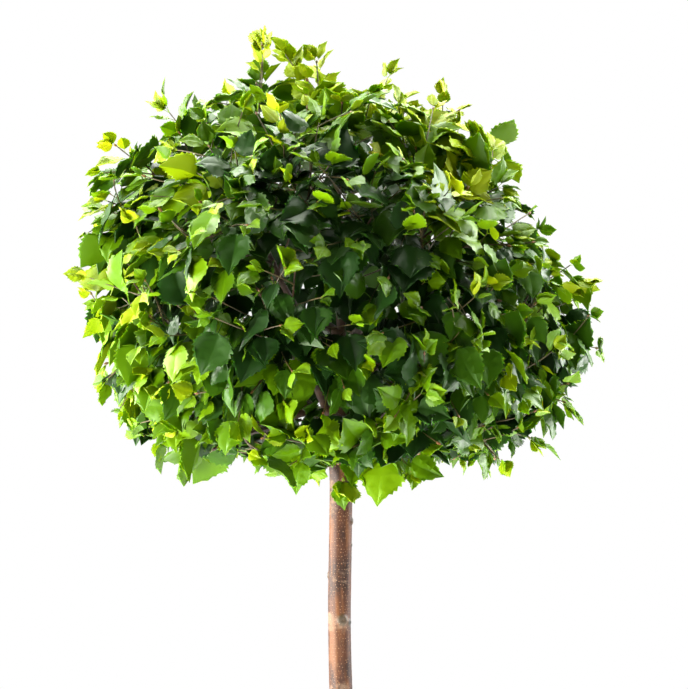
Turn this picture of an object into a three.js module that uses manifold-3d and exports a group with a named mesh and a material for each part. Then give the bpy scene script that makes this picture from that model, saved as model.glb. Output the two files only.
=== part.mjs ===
// A birch grown as a standard: one slim stem, grafted at the top, that carries a dense leafy dome.
// Millimetres, +Z up. The origin is the centre of the stem's flat cut at ground level.
// Each bough ends where it enters a mass of leaves. The masses share the crown out between them:
// each keeps to its own cone of space, whose point is at the fork.
import * as THREE from "three";
import { mergeVertices } from "three/addons/utils/BufferGeometryUtils.js";
import Module from "manifold-3d";

const wasm = await Module();
wasm.setup();

// ---------- driving dimensions ----------
const seed = 17;
const gap = 0.35; // between pieces that touch
const finest = 0.1; // edges shorter than this are closed up

// stem
const graftHeight = 990;
const stemTop = 1034;
const stemRadius = 15.2;
const footRadius = 27;
const flareHeight = 75;
const graftRadius = 19.5;
const stemSway = 3.4;
const swayStart = 0.66; // share of the height at which the stem crosses its plumb line
const swayLength = 0.54; // and the share that one full wave takes

// crown outline: a dome above its widest level and a flatter skirt below it
const crownRadius = 340;
const waistHeight = 1130;
const domeHeight = 380;
const skirtDepth = 188;
const domePower = 2.3;
const skirtPower = 3;
const crownLean = -42; // how far the dome's top leans towards -X
const lobeDepth = 0.035;

// shoots that outgrow the dome: azimuth and elevation in degrees, and the share by which they do
const proudShoots = [
  { azimuth: 186, elevation: 74, share: 0.13 },
  { azimuth: 176, elevation: 40, share: 0.12 },
  { azimuth: 184, elevation: 22, share: 0.08 },
  { azimuth: -20, elevation: 62, share: 0.05 },
  { azimuth: 4, elevation: 3, share: 0.03 },
  { azimuth: 100, elevation: 48, share: 0.08 },
  { azimuth: -70, elevation: 30, share: 0.04 },
];
const proudWidth = 0.24; // radians

// boughs and masses: every ring has this many, spread evenly round the stem
const rings = [
  { name: "top", count: 1, elevation: 90, turn: 0 },
  { name: "upper", count: 5, elevation: 50, turn: 18 },
  { name: "girdle", count: 6, elevation: 16, turn: 12 },
  { name: "skirt", count: 6, elevation: -15, turn: 42 },
];
const leaderRadius = 9; // where each kind of bough starts
const upperRadius = 6.4;
const girdleRadius = 7.4;
const skirtRadius = 5.4;
const boughTipRadius = 3.8;
const stemTipRadius = 2.3; // a mass's own stem thins to this

// shares of the way from the fork to the outline
const boughEnd = 0.47;
const leafStart = 0.53;
const coreInner = 0.55;
const coreOuter = 0.83;
const stemReach = 0.84;
const leafReach = 1.06;

// twigs and leaves
const twigCount = 104;
const twigReach = 0.87; // share of the way from the crown's middle to the outline
const twigBaseRadius = 1.7;
const twigTipRadius = 1;
const firstLeaf = 0.5; // share of a twig that is bare
const leavesPerTwig = 6;
const leafTurns = 12; // places tried for each leaf
const leafLength = 75;
const leafWidth = 60;
const leafThickness = 1.1;
const leafFold = 7;

// space kept free
const coreMargin = 2.5; // between a core and its cell's walls
const twigMargin = 6;
const leafMargin = 0.6;
const bareRadius = 55; // no twig ends this near to the stem
const stemMargin = 9; // between the stem and a leaf

// ---------- materials ----------
const bark = new THREE.MeshStandardMaterial({ color: 0x8a5a3c, roughness: 0.62, metalness: 0 });
const youngBark = new THREE.MeshStandardMaterial({ color: 0x5b3a28, roughness: 0.7, metalness: 0 });
const foliage = new THREE.MeshStandardMaterial({ color: 0x3f7a12, roughness: 0.45, metalness: 0 });

// ---------- small helpers ----------
const radians = THREE.MathUtils.degToRad;
const up = new THREE.Vector3(0, 0, 1);
const goldenAngle = Math.PI * (3 - Math.sqrt(5));

// a repeatable number from 0 to 1 for item k and purpose salt
function chance(k, salt) {
  const s = Math.sin(k * 12.9898 + salt * 78.233 + seed) * 43758.5453;
  return s - Math.floor(s);
}

function heading(azimuth, elevation) {
  const level = Math.cos(elevation);
  return new THREE.Vector3(
    level * Math.cos(azimuth),
    level * Math.sin(azimuth),
    Math.sin(elevation),
  );
}

function solidOf(geometry) {
  geometry.deleteAttribute("normal");
  geometry.deleteAttribute("uv");
  const merged = mergeVertices(geometry, 1e-4);
  return new wasm.Manifold(
    new wasm.Mesh({
      numProp: 3,
      vertProperties: new Float32Array(merged.attributes.position.array),
      triVerts: new Uint32Array(merged.index.array),
    }),
  );
}

// the largest piece of a solid, without loose scraps or sealed hollows
function largestOf(solid) {
  return solid.decompose().reduce((best, one) => (one.volume() > best.volume() ? one : best));
}

function geometryOf(solid) {
  const made = solid.getMesh();
  const geometry = new THREE.BufferGeometry();
  geometry.setAttribute("position", new THREE.BufferAttribute(made.vertProperties, 3));
  geometry.setIndex(new THREE.BufferAttribute(made.triVerts, 1));
  return geometry;
}

// whether each edge of a solid still has two faces once corners that all but meet are one
function isClean(solid) {
  const corners = mergeVertices(geometryOf(solid), 1e-3).index.array;
  const faces = new Map();
  for (let i = 0; i < corners.length; i += 3) {
    const [a, b, c] = corners.subarray(i, i + 3);
    if (a === b || b === c || c === a) continue;
    for (const edge of [[a, b], [b, c], [c, a]]) {
      const key = edge.sort().join();
      faces.set(key, (faces.get(key) ?? 0) + 1);
    }
  }
  return [...faces.values()].every((count) => count === 2);
}

// a solid with a part fused on, or nothing where the two would meet in a pinched edge
function fused(solid, part) {
  const joined = solid.add(part).simplify(finest);
  return isClean(joined) ? joined : null;
}

function meshOf(name, solid, material) {
  const mesh = new THREE.Mesh(geometryOf(largestOf(solid)), material);
  mesh.name = name;
  return mesh;
}

// a round, tapering limb along a curve, closed at both ends
function limbAlong(curve, baseRadius, tipRadius, sides, steps) {
  const limb = new THREE.CylinderGeometry(tipRadius, baseRadius, 1, sides, steps);
  const frames = curve.computeFrenetFrames(steps);
  const place = limb.attributes.position;
  for (let i = 0; i < place.count; i++) {
    const step = Math.round((place.getY(i) + 0.5) * steps);
    const point = curve
      .getPointAt(step / steps)
      .addScaledVector(frames.binormals[step], place.getX(i))
      .addScaledVector(frames.normals[step], place.getZ(i));
    place.setXYZ(i, point.x, point.y, point.z);
  }
  return limb;
}

// ---------- the crown's outline ----------
const fork = new THREE.Vector3(0, 0, 1050);
const middle = new THREE.Vector3(0, 0, waistHeight);
const proud = proudShoots.map((shoot) => ({
  toward: heading(radians(shoot.azimuth), radians(shoot.elevation)),
  share: shoot.share,
}));

// how much the outline swells towards a direction from the middle
function swell(toward) {
  const azimuth = Math.atan2(toward.y, toward.x);
  const level = Math.hypot(toward.x, toward.y);
  let swelling = 1 + lobeDepth * level * Math.sin(3 * azimuth + 1.3 + 2 * toward.z);
  swelling += lobeDepth * 0.6 * level * Math.sin(5 * azimuth - 4 * toward.z);
  for (const shoot of proud) {
    const angle = toward.angleTo(shoot.toward);
    swelling += shoot.share * Math.exp(-((angle / proudWidth) ** 2));
  }
  return swelling;
}

// below 1 inside the outline, 1 on it and above 1 outside
function crownLevel(point) {
  const rise = point.z - waistHeight;
  const lean = (crownLean * Math.max(0, rise)) / domeHeight;
  const offset = new THREE.Vector3(point.x - lean, point.y, rise);
  const swelling = swell(offset.clone().normalize());
  const height = rise > 0 ? domeHeight : skirtDepth;
  const power = rise > 0 ? domePower : skirtPower;
  const around = Math.hypot(offset.x, offset.y) / (crownRadius * swelling);
  return around ** power + Math.abs(rise / (height * swelling)) ** power;
}

// the distance from a point inside the crown to the outline
function reach(from, toward) {
  let near = 0;
  let far = 2 * crownRadius;
  for (let i = 0; i < 22; i++) {
    const half = (near + far) / 2;
    const inside = crownLevel(from.clone().addScaledVector(toward, half)) < 1;
    if (inside) near = half;
    else far = half;
  }
  return near;
}

// ---------- cells: one cone of space for each mass ----------
const cells = [];
for (const ring of rings) {
  for (let k = 0; k < ring.count; k++) {
    const azimuth = radians(ring.turn + (360 * k) / ring.count);
    const toward = heading(azimuth, radians(ring.elevation));
    const name = ring.count > 1 ? `${ring.name}_${k + 1}` : ring.name;
    cells.push({ ring: ring.name, name, k, azimuth, toward, length: reach(fork, toward) });
  }
}
for (const cell of cells) {
  cell.walls = cells
    .filter((other) => other !== cell)
    .map((other) => cell.toward.clone().sub(other.toward).normalize());
}

// how far a point is inside a cell's own cone
function clearance(cell, point) {
  const offset = point.clone().sub(fork);
  return Math.min(...cell.walls.map((wall) => wall.dot(offset)));
}

function cellAt(point) {
  const toward = point.clone().sub(fork).normalize();
  return cells.reduce((best, one) =>
    one.toward.dot(toward) > best.toward.dot(toward) ? one : best,
  );
}

function alongCell(cell, share) {
  return fork.clone().addScaledVector(cell.toward, share * cell.length);
}

// ---------- stem ----------
// the stem's centre line sways a little, and stands plumb at the ground and at the graft
function stemOffset(height) {
  const share = Math.min(1, height / graftHeight);
  const wave = Math.sin((2 * Math.PI * (share - swayStart)) / swayLength);
  return -stemSway * Math.sin(Math.PI * share) * wave;
}

function stemRadiusAt(height) {
  const flare = (footRadius - stemRadius - 1) * Math.exp((-3.2 * height) / flareHeight);
  const taper = 1 * (1 - height / graftHeight);
  const graft = (graftRadius - stemRadius) * Math.exp(-(((height - graftHeight) / 26) ** 2));
  return stemRadius + flare + taper + graft;
}

function stemSolid(extra) {
  const heights = [0, 9, 24, 48, 90, 230, 370, 510, 650, 790, 900, 955, 975, 990, 1010];
  const profile = heights.map((height) => new THREE.Vector2(stemRadiusAt(height) + extra, height));
  profile.unshift(new THREE.Vector2(0, 0));
  profile.push(new THREE.Vector2(13 + extra, stemTop - 6));
  profile.push(new THREE.Vector2(9.6 + extra, stemTop + extra));
  profile.push(new THREE.Vector2(0, stemTop + extra));
  const stem = new THREE.LatheGeometry(profile, 14);
  stem.rotateX(Math.PI / 2);
  const place = stem.attributes.position;
  for (let i = 0; i < place.count; i++) {
    const height = place.getZ(i);
    const azimuth = Math.atan2(place.getY(i), place.getX(i));
    // the foot is drawn out towards the main roots
    const roots = 1 + 0.14 * Math.exp((-3 * height) / flareHeight) * Math.sin(4 * azimuth + 0.6);
    place.setX(i, place.getX(i) * roots + stemOffset(height));
    place.setY(i, place.getY(i) * roots);
  }
  return solidOf(stem);
}

// scars where side shoots were pruned off the stem: height, azimuth in degrees and size
const scars = [
  { height: 888, azimuth: -8, size: 7 },
  { height: 815, azimuth: 176, size: 6 },
  { height: 756, azimuth: -62, size: 11 },
  { height: 752, azimuth: -12, size: 6.5 },
  { height: 610, azimuth: 120, size: 9 },
  { height: 470, azimuth: -150, size: 8 },
  { height: 305, azimuth: -40, size: 10 },
  { height: 180, azimuth: 70, size: 8 },
];

function scarSolid(scar) {
  const knot = new THREE.OctahedronGeometry(1, 1);
  const azimuth = radians(scar.azimuth);
  const depth = scar.size * 0.45;
  const out = stemRadiusAt(scar.height) - 0.2 * depth;
  knot.scale(depth, scar.size, scar.size * 0.85);
  knot.rotateZ(azimuth);
  knot.translate(
    out * Math.cos(azimuth) + stemOffset(scar.height),
    out * Math.sin(azimuth),
    scar.height,
  );
  return solidOf(knot);
}

// ---------- boughs ----------
// Each bough starts inside the stem, or inside an older bough, and is then cut back to its bark.
function boughCurve(start, cell, rise) {
  const end = alongCell(cell, boughEnd);
  const length = start.distanceTo(end);
  const lift = start.clone().lerp(end, 0.35).addScaledVector(up, rise * length);
  const settle = end.clone().addScaledVector(cell.toward, -0.3 * length);
  return new THREE.CubicBezierCurve3(start, lift, settle, end);
}

const boughs = [];

function addBough(cell, start, baseRadius, rise) {
  cell.bough = { cell, curve: boughCurve(start, cell, rise), baseRadius };
  boughs.push(cell.bough);
}

function cellsIn(ringName) {
  return cells.filter((cell) => cell.ring === ringName);
}

// the leader carries the top mass and the boughs of the upper ring
const [leaderCell] = cellsIn("top");
addBough(leaderCell, new THREE.Vector3(0, 0, stemTop - 8), leaderRadius, 0);
cellsIn("upper").forEach((cell) => {
  const share = 0.1 + 0.09 * ((cell.k * 2) % 5);
  addBough(cell, leaderCell.bough.curve.getPointAt(share), upperRadius, 0.08);
});
cellsIn("girdle").forEach((cell) => {
  const height = graftHeight + (cell.k % 2 ? 14 : -8);
  addBough(cell, new THREE.Vector3(0, 0, height), girdleRadius, 0.1);
});
// each bough of the skirt leaves a bough of the girdle and turns down
cellsIn("skirt").forEach((cell) => {
  const parent = cellsIn("girdle")[cell.k].bough;
  addBough(cell, parent.curve.getPointAt(0.4), skirtRadius, -0.04);
});

function boughSolid(bough, extra) {
  const tip = boughTipRadius + extra;
  return solidOf(limbAlong(bough.curve, bough.baseRadius + extra, tip, 6, 5));
}

// ---------- masses of leaves ----------
// A mass's own stem runs on from its bough's tip to just short of the outline.
function massStem(cell) {
  const start = alongCell(cell, boughEnd).addScaledVector(cell.toward, gap);
  const end = alongCell(cell, stemReach);
  const side = new THREE.Vector3().crossVectors(cell.toward, heading(cell.azimuth + 1.2, 0.3));
  const bend = start.clone().lerp(end, 0.5).addScaledVector(side.normalize(), 9);
  const base = start.clone().addScaledVector(cell.toward, 12);
  return new THREE.CubicBezierCurve3(start, base, bend, end);
}

// the dense heart of a mass, a lumpy form that fills most of its cell under the leaves
function coreSolid(cell, index) {
  const core = new THREE.OctahedronGeometry(1, 1);
  core.rotateX(0.5 + index);
  const centre = alongCell(cell, (coreInner + coreOuter) / 2);
  const place = core.attributes.position;
  const inCore = (point) => {
    const offset = point.clone().sub(fork);
    const share = offset.length() / reach(fork, offset.clone().normalize());
    return clearance(cell, point) > coreMargin && share > coreInner && share < coreOuter;
  };
  for (let i = 0; i < place.count; i++) {
    const toward = new THREE.Vector3().fromBufferAttribute(place, i).normalize();
    let near = 0;
    let far = 125;
    for (let turn = 0; turn < 12; turn++) {
      const half = (near + far) / 2;
      if (inCore(centre.clone().addScaledVector(toward, half))) near = half;
      else far = half;
    }
    const point = centre.clone().addScaledVector(toward, near);
    place.setXYZ(i, point.x, point.y, point.z);
  }
  return solidOf(core);
}

// twigs end at points spread evenly over the crown, just under its outline, and leave the stem
// free below it
function twigTips() {
  const tips = [];
  for (let k = 0; k < twigCount; k++) {
    const height = 1 - (2 * k + 1) / twigCount;
    const azimuth = k * goldenAngle + 0.5 * (chance(k, 1) - 0.5);
    const toward = heading(azimuth, Math.asin(height));
    const share = twigReach + 0.08 * (chance(k, 2) - 0.5);
    const tip = middle.clone().addScaledVector(toward, share * reach(middle, toward));
    const offStem = Math.hypot(tip.x, tip.y) > bareRadius || tip.z > waistHeight;
    if (offStem) tips.push({ k, tip, cell: cellAt(tip) });
  }
  return tips;
}

// a twig leaves its mass's stem at an angle and arches over to its tip
function twigCurve(cell, tip, share) {
  const start = cell.stem.getPointAt(share);
  const end = tip.clone();
  while (clearance(cell, end) < twigMargin) end.lerp(alongCell(cell, stemReach), 0.06);
  const arch = 0.12 * start.distanceTo(end);
  const bend = start.clone().lerp(end, 0.5).addScaledVector(cell.toward, arch);
  return new THREE.QuadraticBezierCurve3(start, bend, end);
}

// a leaf: a rhombic blade, widest near its base and folded a little along its midrib
function leafGeometry(size) {
  const leaf = new THREE.OctahedronGeometry(1, 0);
  const place = leaf.attributes.position;
  for (let i = 0; i < place.count; i++) {
    const along = place.getX(i);
    const across = place.getY(i);
    const through = place.getZ(i);
    const onRib = Math.abs(through) > 0.5;
    const x = along > 0.5 ? leafLength : along < -0.5 ? 0 : 0.38 * leafLength;
    const sag = onRib ? -leafFold : along > 0.5 ? -leafFold * 1.2 : 0;
    const z = sag + through * 0.5 * leafThickness;
    place.setXYZ(i, x * size, across * 0.5 * leafWidth * size, z * size);
  }
  return leaf;
}

// the way a leaf hangs: out from its twig to one side, then down, with its face to the light
function leafPlacement(base, along, k, n, spin) {
  const outward = base.clone().sub(middle).normalize();
  const side = new THREE.Vector3().crossVectors(along, outward);
  if (side.length() < 0.2) side.crossVectors(along, heading(k, 0));
  side.normalize().applyAxisAngle(along, n * goldenAngle + spin + 0.8 * chance(k, n + 20));
  const droop = 0.75 - 0.9 * Math.max(0, outward.z);
  const onward = n > leavesPerTwig - 3 ? 1.1 : 0.5;
  const axis = side.multiplyScalar(0.8).addScaledVector(along, onward).addScaledVector(up, -droop);
  axis.normalize();
  const face = outward.multiplyScalar(0.9).addScaledVector(up, 0.35);
  face.addScaledVector(axis, -face.dot(axis)).normalize();
  face.applyAxisAngle(axis, 0.7 * (chance(k, n + 40) - 0.5));
  const across = new THREE.Vector3().crossVectors(face, axis);
  return new THREE.Matrix4().makeBasis(axis, across, face).setPosition(base);
}

function cornersOf(geometry) {
  const place = geometry.attributes.position;
  return Array.from({ length: place.count }, (_, i) =>
    new THREE.Vector3().fromBufferAttribute(place, i),
  );
}

function staysInCell(cell, corners) {
  return corners.every((corner) => {
    const offset = corner.clone().sub(fork);
    const share = offset.length() / reach(fork, offset.clone().normalize());
    const fromStem = Math.hypot(corner.x, corner.y) - stemRadius;
    const offStem = fromStem > stemMargin || corner.z > stemTop + stemMargin;
    return clearance(cell, corner) > leafMargin && share > leafStart && share < leafReach && offStem;
  });
}

// whether a leaf runs through one of those already placed
function crossesAny(leaf, leaves) {
  return leaves.some(
    (other) =>
      other.base.distanceTo(leaf.base) < 2.4 * leafLength &&
      !other.solid.intersect(leaf.solid).isEmpty(),
  );
}

// the leaves of one twig: each is turned round the twig, and then made smaller, until it stays
// in the cell and runs through no other leaf
function addLeaves(cell, curve, k, leaves) {
  for (let n = 0; n < leavesPerTwig; n++) {
    const share = firstLeaf + ((0.99 - firstLeaf) * n) / (leavesPerTwig - 1);
    const along = curve.getTangentAt(share);
    const base = curve.getPointAt(share).addScaledVector(along, -1);
    for (let turn = 0; turn < leafTurns; turn++) {
      const size = (0.82 + 0.3 * chance(k, n + 60)) * (turn < leafTurns / 2 ? 1 : 0.72);
      const place = leafPlacement(base, along, k, n, 1.05 * turn);
      const blade = leafGeometry(size).applyMatrix4(place);
      if (!staysInCell(cell, cornersOf(blade))) continue;
      const leaf = { base, solid: solidOf(blade) };
      if (crossesAny(leaf, leaves)) continue;
      leaves.push(leaf);
      break;
    }
  }
}

function massSolid(cell, index, tips) {
  cell.stem = massStem(cell);
  let mass = solidOf(limbAlong(cell.stem, boughTipRadius, stemTipRadius, 4, 2));
  mass = mass.add(coreSolid(cell, index));
  const leaves = [];
  // the widest twig starts nearest to the bough
  const angle = (one) => one.tip.clone().sub(fork).angleTo(cell.toward);
  const order = tips.toSorted((one, other) => angle(other) - angle(one));
  for (const [rank, { k, tip }] of order.entries()) {
    const curve = twigCurve(cell, tip, 0.06 + (0.6 * rank) / order.length);
    const twig = solidOf(limbAlong(curve, twigBaseRadius, twigTipRadius, 3, 2));
    const grown = fused(mass, twig);
    if (!grown) continue;
    mass = grown;
    addLeaves(cell, curve, k, leaves);
  }
  for (const leaf of leaves) mass = fused(mass, leaf.solid) ?? mass;
  return mass;
}

// ---------- the tree ----------
const tree = new THREE.Group();

const stem = scars.reduce((solid, scar) => solid.add(scarSolid(scar)), stemSolid(0));
tree.add(meshOf("trunk", stem, bark));

// a bough is cut clear of the stem and of every bough that was placed before it
const wood = [stemSolid(gap)];
for (const bough of boughs) {
  const solid = wood.reduce((rest, other) => rest.subtract(other), boughSolid(bough, 0));
  wood.push(boughSolid(bough, gap));
  tree.add(meshOf(`bough_${bough.cell.name}`, solid, youngBark));
}

const tips = twigTips();
cells.forEach((cell, index) => {
  const own = tips.filter((one) => one.cell === cell);
  tree.add(meshOf(`leaves_${cell.name}`, massSolid(cell, index, own), foliage));
});
export default tree;
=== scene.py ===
import math

import bpy
import numpy as np
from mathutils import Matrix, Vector, noise


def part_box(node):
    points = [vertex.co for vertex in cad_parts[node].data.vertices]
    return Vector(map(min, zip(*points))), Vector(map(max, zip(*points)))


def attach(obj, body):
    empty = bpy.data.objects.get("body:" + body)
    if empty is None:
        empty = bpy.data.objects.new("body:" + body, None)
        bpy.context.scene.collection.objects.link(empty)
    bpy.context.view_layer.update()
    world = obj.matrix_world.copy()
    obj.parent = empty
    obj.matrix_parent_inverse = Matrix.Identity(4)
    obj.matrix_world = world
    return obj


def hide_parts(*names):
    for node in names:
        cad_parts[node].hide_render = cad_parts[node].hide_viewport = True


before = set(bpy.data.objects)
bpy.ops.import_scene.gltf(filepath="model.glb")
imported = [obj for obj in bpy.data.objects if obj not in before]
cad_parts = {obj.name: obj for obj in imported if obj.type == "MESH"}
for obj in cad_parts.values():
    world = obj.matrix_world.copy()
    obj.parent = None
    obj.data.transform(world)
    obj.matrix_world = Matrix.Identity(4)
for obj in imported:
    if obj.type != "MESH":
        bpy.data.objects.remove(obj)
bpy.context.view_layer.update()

# A birch grown as a standard. Metres, +Z up, the origin at the stem's foot.
nodeNames = sorted(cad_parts)
boughNodes = [name for name in nodeNames if name.startswith("bough")]
leafNodes = [name for name in nodeNames if name.startswith("leaves")]
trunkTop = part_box("trunk")[1].z
scene = bpy.context.scene


# Small helpers

norm = np.linalg.norm


def unit(v):
    return v / max(norm(v), 1e-9)


def turned(v, axis, angle):  # v turned about a unit axis
    c, s = math.cos(angle), math.sin(angle)
    return v * c + np.cross(axis, v) * s + axis * np.dot(axis, v) * (1 - c)


def pick(*objects):  # these alone are selected, and the first is the active one
    bpy.ops.object.select_all(action="DESELECT")
    for obj in objects:
        obj.select_set(True)
    bpy.context.view_layer.objects.active = objects[0]


def smooth(crease):  # the picked objects, but for edges sharper than the crease
    bpy.ops.object.shade_smooth_by_angle(angle=math.radians(crease))


def linked(name, data):
    obj = bpy.data.objects.new(name, data)
    scene.collection.objects.link(obj)
    return obj


def mendMesh(obj, near, crease, fillEnds=False):  # doubles merged, faces outward, smooth up to the crease
    pick(obj)
    mesh = bpy.ops.mesh
    bpy.ops.object.mode_set(mode="EDIT")
    mesh.select_all(action="SELECT")
    mesh.remove_doubles(threshold=near)
    if fillEnds:
        mesh.select_all(action="DESELECT")
        mesh.select_non_manifold()
        mesh.fill_holes(sides=0)
        mesh.select_all(action="SELECT")
    mesh.normals_make_consistent(inside=False)
    bpy.ops.object.mode_set(mode="OBJECT")
    smooth(crease)


# Shader maths

class Sock:  # a shader value that Python's own operators work on
    def __init__(self, sheet, out):
        self.sheet, self.out = sheet, out

    def maths(self, operation, other=None, flip=False):
        pair = [self] if other is None else [other, self] if flip else [self, other]
        return self.sheet.node("Math", {"operation": operation}, dict(enumerate(pair)))

    def __add__(self, other):
        return self.maths("ADD", other)

    def __radd__(self, other):
        return self.maths("ADD", other, True)

    def __sub__(self, other):
        return self.maths("SUBTRACT", other)

    def __rsub__(self, other):
        return self.maths("SUBTRACT", other, True)

    def __mul__(self, other):
        return self.maths("MULTIPLY", other)

    def __rmul__(self, other):
        return self.maths("MULTIPLY", other, True)


class Sheet:  # one material's node sheet
    def __init__(self, name):
        self.material = bpy.data.materials.new(name)
        self.material.use_nodes = True
        self.nodes = self.material.node_tree.nodes
        self.shader = self.nodes["Principled BSDF"]

    def plug(self, socket, value):
        if isinstance(value, Sock):
            self.material.node_tree.links.new(value.out, socket)
        else:
            socket.default_value = value

    def node(self, kind, settings=None, inputs=None, out=0):
        made = self.nodes.new("ShaderNode" + kind)
        for key, value in (settings or {}).items():
            setattr(made, key, value)
        for key, value in (inputs or {}).items():
            self.plug(made.inputs[key], value)
        return Sock(self, made.outputs[out])

    def mix(self, share, a, b):  # two colours
        a, b = [v if isinstance(v, Sock) else (*v, 1) for v in (a, b)]
        return self.node("Mix", {"data_type": "RGBA"}, {0: share, 6: a, 7: b}, 2)

    def place(self):  # a point of the piece
        return self.node("TexCoord", out=3)

    def grain(self, scale, detail, tall, rough=0.5):  # noise, drawn out upward where tall is below 1
        at = self.node("Mapping", {}, {"Vector": self.place(), "Scale": (1, 1, tall)})
        inputs = {"Vector": at, "Scale": scale, "Detail": detail, "Roughness": rough}
        return self.node("TexNoise", {}, inputs)

    def between(self, value, low, high):  # 0 below low, 1 above high
        inputs = {"Value": value, "From Min": low, "From Max": high}
        return self.node("MapRange", {"interpolation_type": "SMOOTHSTEP"}, inputs)

    def finish(self, **looks):
        for key, value in looks.items():
            self.plug(self.shader.inputs[key.replace("_", " ")], value)
        return self.material

    def bump(self, height, strength, distance):
        inputs = {"Height": height, "Strength": strength, "Distance": distance}
        return self.node("Bump", {}, inputs)


# The growth rule, as the solids follow it

growth = {
    "seed": 17,
    "fork": 1.050,          # height of the point that the masses' cones share
    "waist": 1.130,         # the crown's widest level
    "radius": 0.340,
    "dome": 0.380,
    "skirt": 0.188,
    "domePower": 2.3,
    "skirtPower": 3,
    "lean": -0.042,
    "lobe": 0.035,
    "proudWidth": 0.24,
    # name, count, elevation and turn of each ring of masses
    "rings": [("top", 1, 90, 0), ("upper", 5, 50, 18), ("girdle", 6, 16, 12), ("skirt", 6, -15, 42)],
    "boughEnd": 0.47,
    "stemReach": 0.84,
    "twigCount": 104,
    "twigReach": 0.835,
    "twigMargin": 0.006,
    "bareRadius": 0.055,    # nothing grows this near the stem below the waist
    "gap": 0.00035,
}
# Places on the crown: an azimuth and an elevation in degrees, then what the note says.
crownPlaces = {
    # share of the reach by which shoots outgrow the dome
    "proud": [(186, 74, 0.13), (176, 40, 0.12), (184, 22, 0.08), (-20, 62, 0.05),
              (4, 3, 0.03), (100, 48, 0.08), (-70, 30, 0.04)],
    # how much darker the leaves are made, or lighter below 0, and the width in radians: partly older and
    # younger growth, partly painted shade and painted light
    "ageAndShade": [(-92, 28, 0.58, 0.55), (90, 10, 0.46, 0.95), (90, 55, 0.20, 0.45), (-10, 10, 0.06, 0.30),
             (0, 86, -0.24, 0.50), (-5, 56, -0.26, 0.42), (-90, -38, -0.08, 0.35),
             (0, 30, -0.12, 0.35), (145, 25, 0.22, 0.55), (-52, 48, -0.55, 0.34),
             (-98, 34, 0.42, 0.24), (-108, -12, -0.45, 0.17)],
    # share by which the crown falls back, or fills out below 0, and the width in radians
    "hollow": [(180, 58, 0.12, 0.26), (180, 14, 0.07, 0.14), (0, 68, 0.04, 0.12), (0, -22, 0.10, 0.30),
               (180, -52, 0.14, 0.35), (0, 44, 0.06, 0.35), (90, 88, 0.02, 0.40), (0, -52, 0.05, 0.30),
               (0, 74, 0.04, 0.25), (185, 2, -0.08, 0.30), (180, -22, -0.08, 0.30), (0, 0, -0.08, 0.25),
               (-92, -64, 0.10, 0.20), (-42, -56, 0.08, 0.15), (-140, -58, 0.08, 0.15),
               (92, -60, 0.08, 0.20), (0, -38, -0.12, 0.16), (180, 84, -0.03, 0.15), (180, 35, -0.02, 0.2)],
    # share of the reach at which a long shoot ends that stands out of the crown
    "stray": [(184, 75, 0.955), (178, 79, 0.96), (170, 80, 0.94), (198, 74, 0.92), (176, 85, 0.96),
              (186, 53, 0.90), (176, 41, 0.93), (187, 29, 0.86), (178, 9, 0.90), (174, -9, 0.94),
              (4, 80, 0.945), (-8, 67, 0.91), (4, 52, 0.95), (-6, 14, 0.95), (6, -27, 0.88),
              (60, 40, 0.96), (120, 30, 0.96), (80, 65, 0.95), (250, 52, 0.94), (300, 35, 0.95),
              (95, 5, 0.95), (45, 10, 0.95), (140, 60, 0.96)],
    # the same for the shoots that hang from the crown's lower rim
    "hanging": [(-110, -37, 0.96), (-66, -37, 0.96), (-25, -34, 0.97), (-8, -15, 0.89), (185, -29, 0.90),
                (215, -26, 0.85), (35, -35, 0.95), (80, -38, 0.95), (120, -36, 0.95), (150, -33, 0.93)],
    # and for those that close the gaps between the boughs
    "closing": [(-66, 33, 0.88), (-60, 40, 0.82), (-72, 27, 0.86), (-74, 14, 0.85), (-66, 16, 0.80),
                (-92, 0, 0.85), (-60, 20, 0.78), (70, 14, 0.84), (60, 16, 0.80), (54, 18, 0.85),
                (-52, 17, 0.84)],
}
up = np.array([0.0, 0.0, 1.0])
fork = up * growth["fork"]
middle = up * growth["waist"]
goldenAngle = math.pi * (3 - math.sqrt(5))


def chance(k, salt):  # a repeatable number from 0 to 1
    s = math.sin(k * 12.9898 + salt * 78.233 + growth["seed"]) * 43758.5453
    return s - math.floor(s)


def scatter(k, salt, width):  # the same, spread evenly about 0
    return width * (chance(k, salt) - 0.5)


def heading(azimuth, elevation):
    level = math.cos(elevation)
    return np.array([level * math.cos(azimuth), level * math.sin(azimuth), math.sin(elevation)])


def placesOf(kind):  # a direction and what goes with it
    return [(heading(math.radians(azimuth), math.radians(elevation)), *rest)
            for azimuth, elevation, *rest in crownPlaces[kind]]


proudShoots, hollows, ageAndShadePlaces = placesOf("proud"), placesOf("hollow"), placesOf("ageAndShade")


def nearness(toward, centre, width):  # 1 in a direction, falling to 0 around it
    angle = math.acos(max(-1, min(1, np.dot(toward, centre))))
    return math.exp(-(angle / width) ** 2)


def swell(toward):  # how far the outline swells, in three broad lobes and five lesser ones
    azimuth = math.atan2(toward[1], toward[0])
    level = math.hypot(*toward[:2])
    swelling = 1 + growth["lobe"] * level * math.sin(3 * azimuth + 1.3 + 2 * toward[2])
    swelling += growth["lobe"] * 0.6 * level * math.sin(5 * azimuth - 4 * toward[2])
    width = growth["proudWidth"]
    return swelling + sum(share * nearness(toward, shoot, width) for shoot, share in proudShoots)


def crownLevel(point):  # below 1 inside the outline
    rise = point[2] - growth["waist"]
    lean = growth["lean"] * max(0, rise) / growth["dome"]
    offset = np.array([point[0] - lean, point[1], rise])
    swelling = swell(unit(offset))
    part = "dome" if rise > 0 else "skirt"
    height, power = growth[part], growth[f"{part}Power"]
    around = math.hypot(*offset[:2]) / (growth["radius"] * swelling)
    return around ** power + abs(rise / (height * swelling)) ** power


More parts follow.
